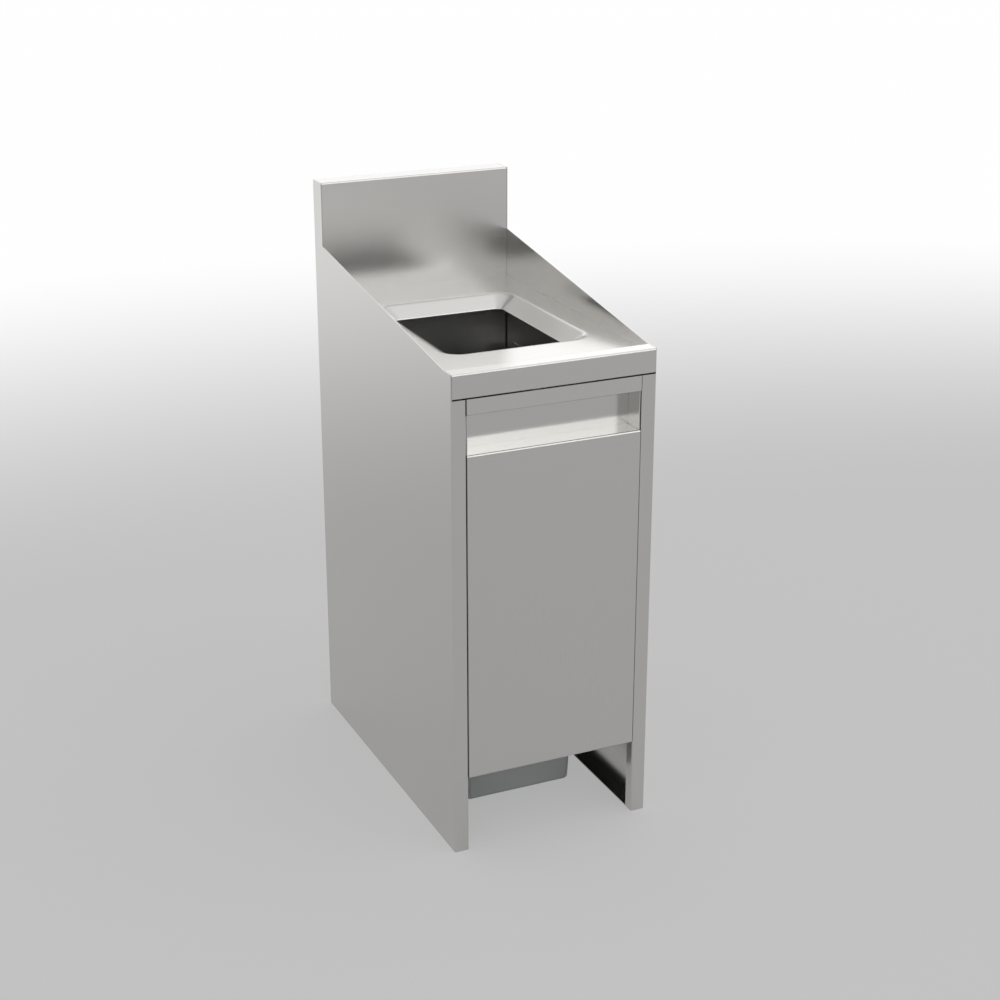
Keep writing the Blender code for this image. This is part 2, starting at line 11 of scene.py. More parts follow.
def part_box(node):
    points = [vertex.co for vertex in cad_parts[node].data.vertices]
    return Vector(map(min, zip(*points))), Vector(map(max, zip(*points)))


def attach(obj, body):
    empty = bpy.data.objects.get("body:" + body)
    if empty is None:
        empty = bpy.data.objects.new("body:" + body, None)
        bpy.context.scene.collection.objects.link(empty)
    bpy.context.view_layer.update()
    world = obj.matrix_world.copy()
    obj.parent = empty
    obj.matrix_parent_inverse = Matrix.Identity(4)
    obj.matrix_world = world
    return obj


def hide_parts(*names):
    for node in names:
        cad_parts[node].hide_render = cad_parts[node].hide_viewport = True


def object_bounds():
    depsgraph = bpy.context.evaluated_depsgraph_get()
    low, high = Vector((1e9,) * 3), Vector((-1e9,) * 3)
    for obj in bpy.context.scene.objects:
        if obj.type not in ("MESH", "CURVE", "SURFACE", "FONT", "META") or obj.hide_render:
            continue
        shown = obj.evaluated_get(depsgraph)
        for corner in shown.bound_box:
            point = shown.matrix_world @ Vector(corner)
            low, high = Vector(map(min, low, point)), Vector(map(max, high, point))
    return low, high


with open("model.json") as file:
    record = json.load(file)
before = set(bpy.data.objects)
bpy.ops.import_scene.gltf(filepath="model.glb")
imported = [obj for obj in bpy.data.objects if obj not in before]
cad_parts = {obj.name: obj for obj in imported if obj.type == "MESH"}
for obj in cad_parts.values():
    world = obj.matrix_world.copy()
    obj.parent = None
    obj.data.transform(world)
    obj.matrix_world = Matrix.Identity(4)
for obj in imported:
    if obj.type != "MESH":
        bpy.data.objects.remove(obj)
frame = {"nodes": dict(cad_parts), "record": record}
cad_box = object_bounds()

MM = 0.001

# Bent sheets
SHEET = 1.5 * MM
BEND = 1.5 * MM
TIGHT_BEND = 0.4 * MM
SHARP_BEND = 0.1 * MM
ARC_STEP = math.radians(7.5)
CORNER_STEPS = 16
SMOOTH_ANGLE = math.radians(30)

# Worktop
APRON_HEIGHT = 40 * MM
APRON_RETURN = 15 * MM
FRONT_EDGE = 29 * MM
WELL_DEPTH = 10 * MM
WELL_STEP = 4 * MM
UPSTAND_DEPTH = 41 * MM
UPSTAND_DOWNTURN = 30 * MM
CHUTE_SETBACK = 157 * MM
CHUTE_HALF = 98 * MM
CHUTE_HALF_LENGTH = 131.5 * MM
CHUTE_CORNER = 10 * MM
CHUTE_LIP = 3 * MM
FUNNEL_RUN = 29 * MM
FUNNEL_DROP = 19 * MM
FUNNEL_CORNER = 34 * MM
FUNNEL_BEND = 16 * MM
FUNNEL_MARGIN = 8 * MM
WELL_MARGIN = 5 * MM
SEAM_FILLET = 0.5 * MM
FOOT_FILLET = 6 * MM

# Pull-out front
FASCIA_HEIGHT = 25.8 * MM
RECESS_HEIGHT = 64 * MM
RECESS_DEPTH = 40 * MM
FRONT_THICKNESS = 20 * MM
FRONT_HEM = 13 * MM
FLANGE_REACH = 0.3 * MM

# Bin
BIN_WALL = 2.5 * MM
BIN_RIM = 10 * MM
BIN_RIM_BEND = 2 * MM
BIN_TAPER = 23.5 * MM
BIN_CORNER = 10 * MM
BIN_FOOT_BEND = 5 * MM

# Fasteners
ARM_SHEET = 2 * MM
SCREW_RADIUS = 4 * MM
SCREW_HEIGHT = 2.4 * MM
SOCKET_RADIUS = 1.9 * MM
SOCKET_DEPTH = 1.4 * MM
RIVET_RADIUS = 3.5 * MM
RIVET_HEIGHT = 1.3 * MM
RIVET_DIMPLE = 1 * MM
SCREW_STEPS = 24
SCREW_SIDE = 0.25
SCREW_ROUND = (0.25, 0.5, 0.75, 1)
SOCKET_RIM = 1.3
SOCKET_SIDES = 6
RIVET_SIDE = 0.2
RIVET_ROUND = (0.3, 0.6, 1)
DIMPLE_TAPER = 0.8
DIMPLE_LEVEL = 0.6
ARM_SCREWS = 3
SCREW_INSET = 60 * MM
GUSSET_SPREAD = 9 * MM
GUSSET_INSET = 28 * MM
BRACKET_INSET = 9 * MM
BRACKET_RIVETS = 5
BACK_RIVETS = 5
RIVET_INSET = 40 * MM

# Finishes
STEEL = (0.62, 0.612, 0.597)
# partly a duller mill finish, partly painted shade: darker so the back panel inside the cabinet glows less
MILL_STEEL_AND_PAINTED_SHADE = (0.56, 0.555, 0.545)
ZINC = (0.60, 0.62, 0.64)
BALL_STEEL = (0.70, 0.70, 0.71)
PLASTIC = (0.29, 0.306, 0.302)
# painted shade: how dark the inside of the bin is painted, as if it lay in shadow
PAINTED_INSIDE_SHADE = 0.22
SIDE_ROUGHNESS = 0.213
TOP_ROUGHNESS = 0.24
FRONT_ROUGHNESS = 0.25
RECESS_ROUGHNESS = 0.16
DULL_ROUGHNESS = 0.45
GRAIN_PITCH = 0.5 * MM
GRAIN_LENGTH = 90 * MM
GRAIN_TINT = (0.96, 1.03)
GRAIN_ROUGHNESS = 0.02
GRAIN_STRENGTH = 0.04
GRAIN_DEPTH = 0.05 * MM
CLOUD_SCALE = 5
CLOUD_ROUGHNESS = (0.95, 1.05)
NOISE_SPAN = (0.3, 0.7)
PLATE_TINT = (0.9, 1.08)
PLATE_ROUGHNESS = (0.8, 1.25)
ZINC_ROUGHNESS = 0.34
ZINC_PITCH = 6 * MM
BALL_ROUGHNESS = 0.16
BALL_PITCH = 3 * MM
PLASTIC_TINT = (0.95, 1.05)
PLASTIC_ROUGHNESS = (0.5, 0.62)
PLASTIC_GRAIN_SCALE = 900
PLASTIC_CLOUD_SCALE = 11
PLASTIC_STRENGTH = 0.15
PLASTIC_DEPTH = 0.1 * MM
# painted shade: softness of the change from the shaded inside to the outside of the bin
INSIDE_SHADE_FADE = 0.01
BRUSHED = {
    "top": ("front_top_rail", "rear_bottom_rail", "carrier_front_bar", "carrier_rear_bar"),
    "long": ("left_carrier_arm", "right_carrier_arm", "left_runner_bracket", "right_runner_bracket"),
    "front": ("front_inner_skin", "left_recess_cap", "right_recess_cap"),
    "mill": ("back_panel",),
}

# Camera
CAMERA_PLACE = Vector((-1.24093, -2.81366, 1.65214))
CAMERA_PITCH = math.radians(20.764)
CAMERA_YAW = math.radians(24.518)
LENS = 69.04
SENSOR = 36

# Studio: the floor's painted pool of shade, and brightness of the surroundings against elevation in
# degrees
FLOOR_HALF = 25
FLOOR_GAP = 0.2 * MM
FLOOR_COLOUR = (0.93, 0.93, 0.93)
FLOOR_ROUGHNESS = 0.9
WHITE = (1, 1, 1)
WHITE_SHARE = 0.7
SHADE_TONE = 0.55
SHADE_CENTRE = (0, -3, 0)
SHADE_INNER = 4.0
SHADE_OUTER = 7.0
LEFT_TO_FRONT = (0.05, 0.3)
LEFT_TO_REAR = (0.12, 0.34)
FRONT_TO_REAR = (-0.25, 0.45)
REAR_SKY = ((0, 1.0), (10, 1.1), (16, 1.7), (24, 1.7), (34, 1.1), (50, 0.9), (90, 0.9))
REAR_LEFT_SKY = ((0, 1.0), (10, 1.3), (14, 2.4), (19, 2.0), (26, 0.8), (50, 0.65), (90, 0.9))
FRONT_SKY = (
    (0, 1.0),
    (12, 0.65),
    (17, 0.9),
    (20, 2.9),
    (26, 2.9),
    (30, 1.3),
    (50, 1.2),
    (65, 1.4),
    (90, 1.1),
)
LEFT_SKY = ((0, 1.0), (12, 0.8), (18, 2.4), (22, 2.4), (28, 0.65), (45, 0.6), (90, 0.9))

# Places taken from the solids
WORKTOP_LOW, WORKTOP_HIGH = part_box("worktop")
SPAN = WORKTOP_HIGH.x
FRONT = WORKTOP_LOW.y
REAR = WORKTOP_HIGH.y
TOP = WORKTOP_HIGH.z
APRON_FOOT = WORKTOP_LOW.z
FRONT_HEIGHT = APRON_FOOT + APRON_HEIGHT
WELL_TOP = FRONT_HEIGHT - WELL_DEPTH
SPLASH = REAR - UPSTAND_DEPTH
CHUTE_CENTRE = FRONT + CHUTE_SETBACK + CHUTE_HALF_LENGTH
SKIN_INNER = cad_box[1].x - SHEET
SIDES = {"left": -1, "right": 1}


# Outlines and sections


def corner_arc(before, corner, after, radius):
    """Points of the arc that rounds one corner of a run."""
    to_before = (before - corner).normalized()
    to_after = (after - corner).normalized()
    half = to_before.angle(to_after) / 2
    start = corner + to_before * (radius / math.tan(half))
    centre = corner + (to_before + to_after).normalized() * (radius / math.sin(half))
    swing = math.pi - 2 * half
    steps = math.ceil(swing / ARC_STEP)
    way = math.copysign(swing / steps, (corner - before).cross(after - corner))
    return [centre + Matrix.Rotation(way * step, 2) @ (start - centre) for step in range(steps + 1)]


def rounded(points, radii):
    """An open run of points with an arc in place of each inner corner."""
    path = [points[0]]
    for before, corner, after, radius in zip(points, points[1:], points[2:], radii):
        path += corner_arc(before, corner, after, radius)
    path.append(points[-1])
    return path


def moved_left(points, distance):
    """An open run of points moved to its left, with sharp corners."""
    runs = [(after - before).normalized() for before, after in zip(points, points[1:])]
    lefts = [Vector((-run.y, run.x)) for run in runs]
    moved = [points[0] + lefts[0] * distance]
    for corner, first, second in zip(points[1:-1], lefts, lefts[1:]):
        moved.append(corner + (first + second) * (distance / (1 + first.dot(second))))
    moved.append(points[-1] + lefts[-1] * distance)
    return moved


def sheet_sides(points, thickness, bends):
    """Both faces of a bent sheet: the one drawn, and the one to the left of it."""
    points = [Vector(point) for point in points]
    corners = zip(points, points[1:], points[2:])
    inside = [(corner - before).cross(after - corner) > 0 for before, corner, after in corners]
    drawn = [bend + thickness * left for bend, left in zip(bends, inside)]
    other = [bend + thickness * (not left) for bend, left in zip(bends, inside)]
    return rounded(points, drawn), rounded(moved_left(points, thickness), other)


# Meshes


def in_space(axis, point, along):
    """A point of a section, with the section's plane at a place along its axis."""
    first, second = point
    return {"X": Vector((along, first, second)), "Y": Vector((first, along, second))}[axis]


def bridge(bm, first, second):
    """Faces between two closed rings of as many points."""
    for index in range(len(first)):
        bm.faces.new((first[index - 1], first[index], second[index], second[index - 1]))


def draw_out(bm, outline, axis, start, end):
    """A section drawn out along an axis. An X section is in YZ and a Y one in XZ."""
    near = [bm.verts.new(in_space(axis, point, start)) for point in outline]
    far = [bm.verts.new(in_space(axis, point, end)) for point in outline]
    bm.faces.new(near)
    bm.faces.new(far)
    bridge(bm, near, far)


def ring(bm, half_x, half_y, radius, centre_y, level):
    """A rounded rectangle of new points at one level."""
    points = []
    for quarter, (sign_x, sign_y) in enumerate(((1, 1), (-1, 1), (-1, -1), (1, -1))):
        middle = Vector((sign_x * (half_x - radius), centre_y + sign_y * (half_y - radius), level))
        for step in range(CORNER_STEPS + 1):
            angle = (quarter + step / CORNER_STEPS) * math.pi / 2
            points.append(middle + radius * Vector((math.cos(angle), math.sin(angle), 0)))
    return [bm.verts.new(point) for point in points]


def loft(bm, rings):
    for first, second in zip(rings, rings[1:]):
        bridge(bm, first, second)


def ring_edges(bm, points):
    return [bm.edges.get((points[index - 1], points[index])) for index in range(len(points))]


def piece(name, bm, body, finish, replaced=()):
    """A new piece that rides on a body, smooth over its bends and flat on its flats."""
    bmesh.ops.recalc_face_normals(bm, faces=bm.faces)
    mesh = bpy.data.meshes.new(name)
    bm.to_mesh(mesh)
    bm.free()
    mesh.shade_smooth()
    mesh.set_sharp_from_angle(angle=SMOOTH_ANGLE)
    mesh.materials.append(finish)
    obj = bpy.data.objects.new(name, mesh)
    bpy.context.scene.collection.objects.link(obj)
    flats = obj.modifiers.new("flats", "WEIGHTED_NORMAL")
    flats.keep_sharp = True
    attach(obj, body)
    if replaced:
        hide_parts(*replaced)
    return obj


# Worktop


def funnel_corner(reach):
    """Corner radius of the funnel at a reach outside the chute."""
    return CHUTE_CORNER + (FUNNEL_CORNER - CHUTE_CORNER) * reach / FUNNEL_RUN


def funnel_rings(bm):
    """Rings of the pressed funnel, down its upper face and back up its underside."""
    run = [
        (FUNNEL_RUN + FUNNEL_MARGIN, WELL_TOP),
        (FUNNEL_RUN, WELL_TOP),
        (0, WELL_TOP - FUNNEL_DROP),
        (0, WELL_TOP - FUNNEL_DROP - CHUTE_LIP),
    ]
    upper, under = sheet_sides(run, SHEET, (FUNNEL_BEND, BEND))
    return [
        ring(bm, CHUTE_HALF + reach, CHUTE_HALF_LENGTH + reach, funnel_corner(reach), CHUTE_CENTRE, level)
        for reach, level in upper + under[::-1]
    ]


def worktop_runs():
    """Both faces of the worktop's sheet, behind the funnel and in front of it."""
    reach = CHUTE_HALF_LENGTH + FUNNEL_RUN + FUNNEL_MARGIN + WELL_MARGIN
    rear = [
        (REAR, TOP - UPSTAND_DOWNTURN),
        (REAR, TOP),
        (SPLASH, TOP),
        (SPLASH, WELL_TOP),
        (CHUTE_CENTRE + reach, WELL_TOP),
    ]
    front = [
        (CHUTE_CENTRE - reach, WELL_TOP),
        (FRONT + FRONT_EDGE + WELL_STEP, WELL_TOP),
        (FRONT + FRONT_EDGE, FRONT_HEIGHT),
        (FRONT, FRONT_HEIGHT),
        (FRONT, APRON_FOOT),
        (FRONT + APRON_RETURN, APRON_FOOT),
    ]
    rear_sides = sheet_sides(rear, SHEET, (BEND, BEND, SHARP_BEND))
    front_sides = sheet_sides(front, SHEET, (BEND, BEND, BEND, BEND))
    return rear_sides, front_sides


def worktop_mesh():
    """Apron, raised front edge, well with its funnel, splashback and capped upstand in one sheet."""
    (rear_upper, rear_under), (front_upper, front_under) = worktop_runs()
    section = rear_upper + front_upper + front_under[::-1] + rear_under[::-1]
    bm = bmesh.new()
    left = [bm.verts.new(in_space("X", point, -SPAN)) for point in section]
    right = [bm.verts.new(in_space("X", point, SPAN)) for point in section]
    bm.faces.new(left)
    bm.faces.new(right)
    upper_floor = len(rear_upper)
    under_floor = len(rear_upper) + len(front_upper) + len(front_under)
    for index in range(len(section)):
        if index not in (upper_floor, under_floor):
            bm.faces.new((left[index - 1], left[index], right[index], right[index - 1]))
    rings = funnel_rings(bm)
    loft(bm, rings)
    for index, mouth in ((upper_floor, rings[0]), (under_floor, rings[-1])):
        border = [left[index - 1], left[index], right[index], right[index - 1]]
        edges = ring_edges(bm, border) + ring_edges(bm, mouth)
        bmesh.ops.triangle_fill(bm, use_beauty=True, edges=edges)
    return bm


def fillet(corner, along, up, radius):
    """The hollow section of a weld in a square corner."""
    return [corner] + corner_arc(corner + along * radius, corner, corner + up * radius, radius)


def seam_mesh():
    """The welds between the well and the cheeks, and at the foot of the back panel."""
    bm = bmesh.new()
    up = Vector((0, 1))
    for side in SIDES.values():
        corner = Vector((side * SKIN_INNER, WELL_TOP))
        section = fillet(corner, Vector((-side, 0)), up, SEAM_FILLET)
        draw_out(bm, section, "Y", FRONT + FRONT_EDGE + WELL_STEP, SPLASH)
    foot = Vector((SPLASH + SHEET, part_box("rear_bottom_rail")[1].z))
    half = SPAN - SHEET - BEND
    draw_out(bm, fillet(foot, Vector((1, 0)), up, FOOT_FILLET), "X", -half, half)
    return bm


# Pull-out front


def front_mesh():
    """Fascia, finger recess and door in one bent sheet, with side flanges."""
    low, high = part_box("front_panel")
    recess_top = high.z - FASCIA_HEIGHT
    shelf = recess_top - RECESS_HEIGHT
    back = FRONT + FRONT_THICKNESS
    run = [
        (FRONT, high.z),
        (FRONT, recess_top),
        (FRONT + RECESS_DEPTH, recess_top),
        (FRONT + RECESS_DEPTH, shelf),
        (FRONT, shelf),
        (FRONT, low.z),
        (back, low.z),
        (back, low.z + FRONT_HEM),
    ]
    face, inner = sheet_sides(run, SHEET, (TIGHT_BEND, BEND, SHARP_BEND, BEND, BEND, BEND))
    bm = bmesh.new()
    half = high.x - FLANGE_REACH
    draw_out(bm, face + inner[::-1], "X", -half, half)
    for bottom, top in ((low.z + SHEET + BEND, shelf - SHEET), (recess_top + SHEET, high.z)):
        flange = [
            Vector((FRONT + SHEET, bottom)),
            Vector((back - SHEET, bottom)),
            Vector((back - SHEET, top)),
            Vector((FRONT + SHEET, top)),
        ]
        for side in SIDES.values():
            draw_out(bm, flange, "X", side * (high.x - SHEET), side * high.x)
    return bm


# Bin


def bin_mesh():
    """A tapered, round-cornered shell with a flat rim, open at the top."""
    low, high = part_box("waste_bin")
    rest = high.z - BIN_WALL
    half = high.x - BIN_RIM
    half_length = (high.y - low.y) / 2 - BIN_RIM
    centre = (low.y + high.y) / 2
    foot_span = BIN_FOOT_BEND + BIN_WALL
    run = [
        (-BIN_TAPER - foot_span, low.z),
        (-BIN_TAPER, low.z),
        (0, rest),
        (BIN_RIM, rest),
    ]
    outer, inner = sheet_sides(run, BIN_WALL, (BIN_FOOT_BEND, BIN_RIM_BEND))
    bm = bmesh.new()
    rings = []
    for reach, level in outer + inner[::-1]:
        wall_reach = -BIN_TAPER * (rest - level) / (rest - low.z)
        corner = BIN_CORNER + reach - wall_reach
        rings.append(ring(bm, half + reach, half_length + reach, corner, centre, level))
    loft(bm, rings)
    bm.faces.new(rings[0])
    bm.faces.new(rings[-1])
    return bm


# Fasteners


def head_ring(bm, place, turn, radius, height, sides=0):
    """A ring of points round a fastener's axis, round or with a few flat sides."""
    points = []
    for step in range(SCREW_STEPS):
        angle = 2 * math.pi * step / SCREW_STEPS
        reach = radius
        if sides:
            sector = 2 * math.pi / sides
            reach = radius / math.cos(angle % sector - sector / 2)
        points.append(place + turn @ Vector((reach * math.cos(angle), reach * math.sin(angle), height)))
    return [bm.verts.new(point) for point in points]


def head(bm, place, axis, profile):
    """A fastener's head on a face, from rings of radius, height and flat sides."""
    turn = Vector((0, 0, 1)).rotation_difference(axis)
    rings = [head_ring(bm, place, turn, *step) for step in profile]
    loft(bm, rings)
    bm.faces.new(rings[0])
    bm.faces.new(rings[-1])


def screw(bm, place, axis):
    """A button head with a hexagon socket."""
    rim = SOCKET_RADIUS * SOCKET_RIM
    dome = [(SCREW_RADIUS, 0), (SCREW_RADIUS, SCREW_HEIGHT * SCREW_SIDE)]
    for step in SCREW_ROUND:
        angle = step * math.pi / 2
        radius = rim + (SCREW_RADIUS - rim) * math.cos(angle)
        dome.append((radius, SCREW_HEIGHT * (SCREW_SIDE + (1 - SCREW_SIDE) * math.sin(angle))))
    floor = SCREW_HEIGHT - SOCKET_DEPTH
    socket = [(SOCKET_RADIUS, level, SOCKET_SIDES) for level in (SCREW_HEIGHT, floor)]
    head(bm, place, axis, dome + socket)


def rivet(bm, place, axis):
    """A low domed blind rivet with the dimple of its broken pin."""
    dome = [(RIVET_RADIUS, 0), (RIVET_RADIUS, RIVET_HEIGHT * RIVET_SIDE)]
    for step in RIVET_ROUND:
        angle = step * math.pi / 2
        radius = RIVET_DIMPLE + (RIVET_RADIUS - RIVET_DIMPLE) * math.cos(angle)
        dome.append((radius, RIVET_HEIGHT * (RIVET_SIDE + (1 - RIVET_SIDE) * math.sin(angle))))
    head(bm, place, axis, dome + [(RIVET_DIMPLE * DIMPLE_TAPER, RIVET_HEIGHT * DIMPLE_LEVEL)])


def between(low, high, count):
    """Evenly spaced places from one end to the other."""
    return [low + (high - low) * index / (count - 1) for index in range(count)]


def carrier_screws():
    """Screws that hold the arms to the runners and the gussets to the arms and the front."""
    bm = bmesh.new()
    for name, side in SIDES.items():
        inward = Vector((-side, 0, 0))
        runner_low, runner_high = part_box(f"{name}_runner_inner")
        gusset_low, gusset_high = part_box(f"{name}_front_gusset")
        level = (runner_low.z + runner_high.z) / 2
        middle = (gusset_low.z + gusset_high.z) / 2
        arm = max(abs(corner.x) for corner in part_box(f"{name}_carrier_arm")) - ARM_SHEET
        gusset = max(abs(corner.x) for corner in (gusset_low, gusset_high))
        for along in between(runner_low.y + SCREW_INSET, runner_high.y - SCREW_INSET, ARM_SCREWS):
            screw(bm, Vector((side * arm, along, level)), inward)
        screw(bm, Vector((side * (gusset - ARM_SHEET), gusset_high.y - GUSSET_SPREAD, middle)), inward)
        for rise in (-GUSSET_SPREAD, GUSSET_SPREAD):
            place = Vector((side * (gusset - GUSSET_INSET), gusset_low.y + ARM_SHEET, middle + rise))
            screw(bm, place, Vector((0, 1, 0)))
    return bm


def cabinet_rivets():
    """Rivets that hold the runner brackets and the back panel to the side skins."""
    bm = bmesh.new()
    face = SPAN - SHEET
    for name, side in SIDES.items():
        inward = Vector((-side, 0, 0))
        low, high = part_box(f"{name}_runner_bracket")
        for along in between(low.y + RIVET_INSET, high.y - RIVET_INSET, BRACKET_RIVETS):
            for level in (low.z + BRACKET_INSET, high.z - BRACKET_INSET):
                rivet(bm, Vector((side * face, along, level)), inward)
        low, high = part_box("back_panel")
        for level in between(low.z + RIVET_INSET, high.z - RIVET_INSET, BACK_RIVETS):
            rivet(bm, Vector((side * face, high.y - BRACKET_INSET, level)), inward)
    return bm


# Shader nodes


def add(tree, kind, inputs=None, **settings):
    """A shader node. An input is a constant or another node's output."""
    made = tree.nodes.new(f"ShaderNode{kind}")
    for name, value in settings.items():
        setattr(made, name, value)
    for name, value in (inputs or {}).items():
        if isinstance(value, bpy.types.NodeSocket):
            tree.links.new(value, made.inputs[name])
        else:
            made.inputs[name].default_value = value
    return made


def new_material(name):
    made = bpy.data.materials.new(name)
    made.use_nodes = True
    return made, made.node_tree, made.node_tree.nodes["Principled BSDF"]


def spread(tree, value, low, high, start=0.0, end=1.0):
    """A value's stretch from start to end, laid over the stretch from low to high."""
    inputs = {"Value": value, "From Min": start, "From Max": end, "To Min": low, "To Max": high}
    return add(tree, "MapRange", inputs).outputs["Result"]


def tinted(tree, factor, colour, levels):
    """A colour that varies between two levels of itself."""
    low, high = levels
    inputs = {"Fac": factor, "Color1": shade(colour, low), "Color2": shade(colour, high)}
    return add(tree, "MixRGB", inputs).outputs["Color"]


def noise(tree, place, scale, detail):
    return add(tree, "TexNoise", {"Vector": place, "Scale": scale, "Detail": detail}).outputs["Fac"]


def shade(colour, factor):
    return (*(channel * factor for channel in colour), 1)


def brushed_steel(name, grain, roughness, colour=STEEL):
    """Fine brushed stainless, with its grain along one axis and faint marks of handling."""
    made, tree, shader = new_material(name)
    place = add(tree, "TexCoord").outputs["Object"]
    scale = [1 / GRAIN_LENGTH if axis == grain else 1 / GRAIN_PITCH for axis in "XYZ"]
    along = add(tree, "Mapping", {"Vector": place, "Scale": scale}).outputs["Vector"]
    lines = noise(tree, along, 1, 3)
    clouds = noise(tree, place, CLOUD_SCALE, 2)
    tint = tinted(tree, lines, colour, GRAIN_TINT)
    fine = spread(tree, lines, -GRAIN_ROUGHNESS, GRAIN_ROUGHNESS, *NOISE_SPAN)
    broad = spread(tree, clouds, *(roughness * level for level in CLOUD_ROUGHNESS), *NOISE_SPAN)
    worn = add(tree, "Math", {0: fine, 1: broad}, operation="ADD")
    bump = add(tree, "Bump", {"Height": lines, "Strength": GRAIN_STRENGTH, "Distance": GRAIN_DEPTH})
    tree.links.new(tint, shader.inputs["Base Color"])
    tree.links.new(worn.outputs["Value"], shader.inputs["Roughness"])
    tree.links.new(bump.outputs["Normal"], shader.inputs["Normal"])
    shader.inputs["Metallic"].default_value = 1
    return made


def hand_worn(made):
    """Steel that fingers have worn smooth inside the recess."""
    tree = made.node_tree
    target = tree.nodes["Principled BSDF"].inputs["Roughness"]
    brushed = target.links[0].from_socket
    depth = add(tree, "SeparateXYZ", {"Vector": add(tree, "TexCoord").outputs["Object"]}).outputs["Y"]
    wear = spread(tree, depth, 1, RECESS_ROUGHNESS / FRONT_ROUGHNESS, FRONT + BEND, FRONT + 2 * BEND)
    worn = add(tree, "Math", {0: brushed, 1: wear}, operation="MULTIPLY")
    tree.links.new(worn.outputs["Value"], target)
    return made


def plain_metal(name, colour, roughness, pitch):
    """Plated or polished steel, a little cloudy."""
    made, tree, shader = new_material(name)
    place = add(tree, "TexCoord").outputs["Object"]
    clouds = noise(tree, place, 1 / pitch, 4)
    worn = spread(tree, clouds, *(roughness * level for level in PLATE_ROUGHNESS), *NOISE_SPAN)
    tree.links.new(tinted(tree, clouds, colour, PLATE_TINT), shader.inputs["Base Color"])
    tree.links.new(worn, shader.inputs["Roughness"])
    shader.inputs["Metallic"].default_value = 1
    return made


def moulded_plastic(name):
    """Grey polymer with a fine moulded grain, and painted shade that darkens the inside of the bin."""
    made, tree, shader = new_material(name)
    coordinates = add(tree, "TexCoord").outputs
    place, normal = coordinates["Object"], coordinates["Normal"]
    low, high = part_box("waste_bin")
    centre = (low + high) / 2
    grain = noise(tree, place, PLASTIC_GRAIN_SCALE, 2)
    clouds = noise(tree, place, PLASTIC_CLOUD_SCALE, 4)
    outside_colour = tinted(tree, clouds, PLASTIC, PLASTIC_TINT)
    # painted shade: the inside of the bin is darkened as if it lay in shadow
    arm = add(tree, "VectorMath", {0: place, 1: centre}, operation="SUBTRACT").outputs["Vector"]
    outward = add(tree, "VectorMath", {0: arm, 1: normal}, operation="DOT_PRODUCT").outputs["Value"]
    outside = spread(tree, outward, 0, 1, -INSIDE_SHADE_FADE, INSIDE_SHADE_FADE)
    tint = add(tree, "MixRGB", {"Fac": outside, "Color1": shade(PLASTIC, PAINTED_INSIDE_SHADE), "Color2": outside_colour})
    bump = add(tree, "Bump", {"Height": grain, "Strength": PLASTIC_STRENGTH, "Distance": PLASTIC_DEPTH})
    tree.links.new(tint.outputs["Color"], shader.inputs["Base Color"])
    tree.links.new(spread(tree, clouds, *PLASTIC_ROUGHNESS, *NOISE_SPAN), shader.inputs["Roughness"])
    tree.links.new(bump.outputs["Normal"], shader.inputs["Normal"])
    return made


# Studio


def ramp(tree, factor, stops):
    """Brightness against elevation, from stops of degrees and level."""
    made = add(tree, "ValToRGB", {"Fac": factor})
    elements = made.color_ramp.elements
    elements.remove(elements[1])
    for index, (angle, level) in enumerate(stops):
        position = (math.sin(math.radians(angle)) + 1) / 2
        element = elements.new(position) if index else elements[0]
        element.position = position
        element.color = (level, level, level, 1)
    return made.outputs["Color"]


def fade(tree, value, start, end):
    """A soft change from 0 to 1 between two values."""
    inputs = {"Value": value, "From Min": start, "From Max": end}
    return add(tree, "MapRange", inputs, interpolation_type="SMOOTHSTEP").outputs["Result"]


def studio_world():
    """A studio that is white at the horizon, with soft bright bands above it."""
    world = bpy.data.worlds.new("studio")
    bpy.context.scene.world = world
    world.use_nodes = True
    tree = world.node_tree
    way = add(tree, "TexCoord").outputs["Generated"]
    parts = add(tree, "SeparateXYZ", {"Vector": way}).outputs
    height = spread(tree, parts["Z"], 0, 1, -1, 1)
    front = add(tree, "MixRGB", {"Fac": fade(tree, parts["X"], *LEFT_TO_FRONT),
                                 "Color1": ramp(tree, height, LEFT_SKY),
                                 "Color2": ramp(tree, height, FRONT_SKY)}).outputs["Color"]
    rear = add(tree, "MixRGB", {"Fac": fade(tree, parts["X"], *LEFT_TO_REAR),
                                "Color1": ramp(tree, height, REAR_LEFT_SKY),
                                "Color2": ramp(tree, height, REAR_SKY)}).outputs["Color"]
    sky = add(tree, "MixRGB", {"Fac": fade(tree, parts["Y"], *FRONT_TO_REAR),
                               "Color1": front,
                               "Color2": rear}).outputs["Color"]
    tree.links.new(sky, tree.nodes["Background"].inputs["Color"])


def painted_floor_shade(tree):
    """White that softens to a painted pale grey pool of shade in front of the object."""
    place = add(tree, "TexCoord").outputs["Object"]
    reach = add(tree, "VectorMath", {0: place, 1: SHADE_CENTRE}, operation="DISTANCE").outputs["Value"]
    lit = fade(tree, reach, SHADE_INNER, SHADE_OUTER)
    return tinted(tree, lit, WHITE, (SHADE_TONE, 1))


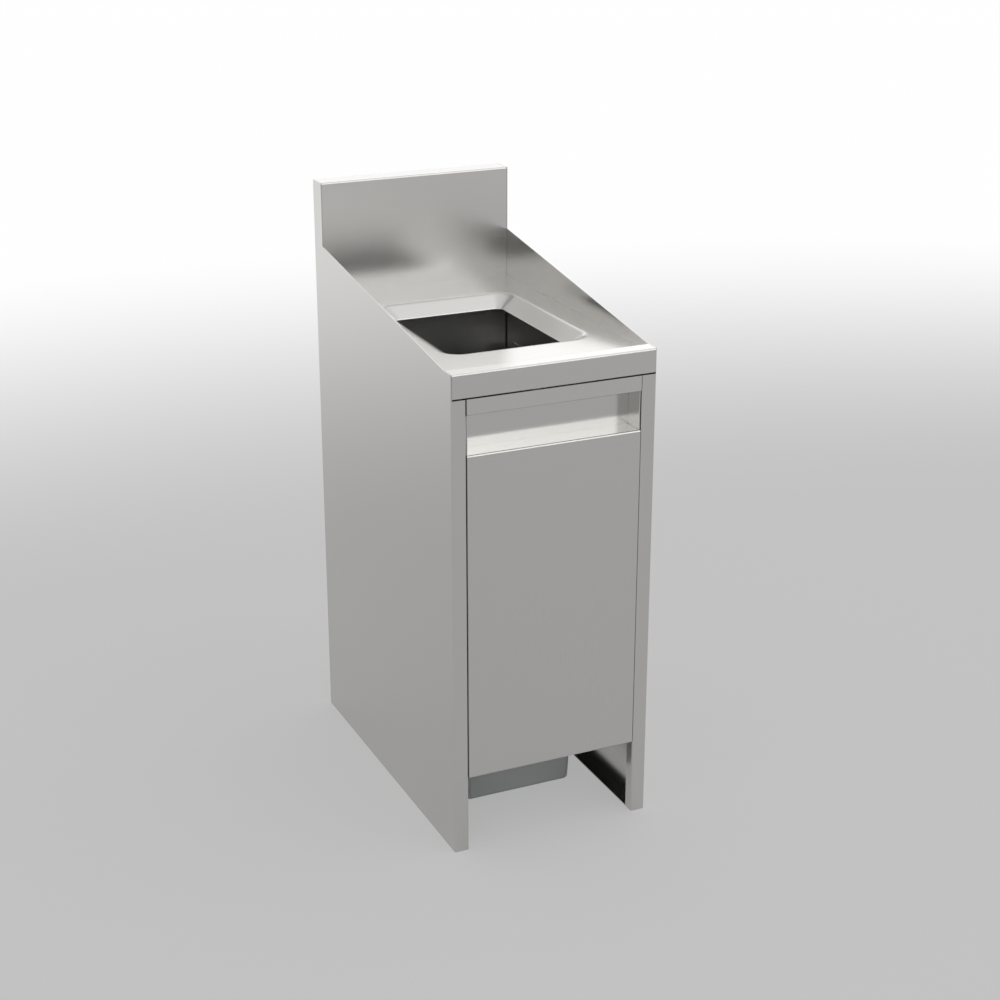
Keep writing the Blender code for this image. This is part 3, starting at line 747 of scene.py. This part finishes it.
def floor_finish():
    """A dull floor that the camera and the steel see alike, with a painted pool of shade and the object's
    shadow on it.
    """
    made, tree, shader = new_material("floor")
    # painted shade: the floor's colour greys towards a pool in front of the object
    tone = painted_floor_shade(tree)
    paint = {"Fac": 1, "Color1": tone, "Color2": (*FLOOR_COLOUR, 1)}
    colour = add(tree, "MixRGB", paint, blend_type="MULTIPLY").outputs["Color"]
    tree.links.new(colour, shader.inputs["Base Color"])
    shader.inputs["Roughness"].default_value = FLOOR_ROUGHNESS
    shader.inputs["Specular IOR Level"].default_value = 0
    rays = add(tree, "LightPath").outputs
    mirrors = {0: rays["Is Glossy Ray"], 1: rays["Is Transmission Ray"]}
    mirrored = add(tree, "Math", mirrors, operation="MAXIMUM").outputs["Value"]
    seen = add(tree, "Math", {0: rays["Is Camera Ray"], 1: mirrored}, operation="MAXIMUM").outputs["Value"]
    share = spread(tree, seen, 0, WHITE_SHARE)
    glow = add(tree, "Emission", {"Color": tone, "Strength": 1}).outputs["Emission"]
    mix = add(tree, "MixShader", {"Fac": share, 1: shader.outputs["BSDF"], 2: glow})
    tree.links.new(mix.outputs["Shader"], tree.nodes["Material Output"].inputs["Surface"])
    return made


def studio_floor():
    """A wide floor just under the object's feet."""
    bm = bmesh.new()
    bmesh.ops.create_grid(bm, x_segments=1, y_segments=1, size=FLOOR_HALF)
    mesh = bpy.data.meshes.new("floor")
    bm.to_mesh(mesh)
    bm.free()
    mesh.materials.append(floor_finish())
    obj = bpy.data.objects.new("floor", mesh)
    bpy.context.scene.collection.objects.link(obj)
    obj.location.z = cad_box[0].z - FLOOR_GAP


def camera():
    """A camera at the photograph's place and angle."""
    data = bpy.data.cameras.new("camera")
    data.lens = LENS
    data.sensor_width = SENSOR
    obj = bpy.data.objects.new("camera", data)
    bpy.context.scene.collection.objects.link(obj)
    obj.location = CAMERA_PLACE
    obj.rotation_euler = (math.pi / 2 - CAMERA_PITCH, 0, -CAMERA_YAW)
    bpy.context.scene.camera = obj


# The whole scene


def finishes():
    """Every finish by name: the brushed steels, and the record's other slots."""
    made = {
        "side": brushed_steel("brushed_side", "Z", SIDE_ROUGHNESS),
        "front": hand_worn(brushed_steel("brushed_front", "Z", FRONT_ROUGHNESS)),
        "top": brushed_steel("brushed_top", "X", TOP_ROUGHNESS),
        "long": brushed_steel("brushed_long", "Y", TOP_ROUGHNESS),
        # mill finish, darkened partly as painted shade for the back panel inside the cabinet
        "mill": brushed_steel("mill_finish_and_painted_shade", "Z", DULL_ROUGHNESS, MILL_STEEL_AND_PAINTED_SHADE),
        "weld": brushed_steel("ground_weld", "Y", DULL_ROUGHNESS),
    }
    made["zinc_plate"] = plain_metal("zinc_plate", ZINC, ZINC_ROUGHNESS, ZINC_PITCH)
    made["bearing_steel"] = plain_metal("bearing_steel", BALL_STEEL, BALL_ROUGHNESS, BALL_PITCH)
    made["grey_plastic"] = moulded_plastic("grey_plastic")
    return made


def dress(finish):
    """Finishes on the solids that stay."""
    slots = {part["node"]: part["material_slot"] for part in frame["record"]["subparts"]}
    brushed = {name: steel for steel, names in BRUSHED.items() for name in names}
    for name, obj in frame["nodes"].items():
        steel = finish[brushed.get(name, "side")]
        obj.material_slots[0].material = finish.get(slots[name], steel)


def fine_pieces(finish):
    """The bent sheets and the bin with round bends, and what is too small for the solids."""
    piece("worktop_sheet", worktop_mesh(), "carcass", finish["top"], ["worktop"])
    piece("weld_seams", seam_mesh(), "carcass", finish["weld"])
    piece("cabinet_rivets", cabinet_rivets(), "carcass", finish["zinc_plate"])
    piece("front_sheet", front_mesh(), "drawer", finish["front"], ["front_panel"])
    piece("carrier_screws", carrier_screws(), "drawer", finish["zinc_plate"])
    piece("bin_shell", bin_mesh(), "bin", finish["grey_plastic"], ["waste_bin"])


finish = finishes()
dress(finish)
fine_pieces(finish)
studio_world()
studio_floor()
camera()
bpy.context.scene.view_settings.view_transform = "Standard"
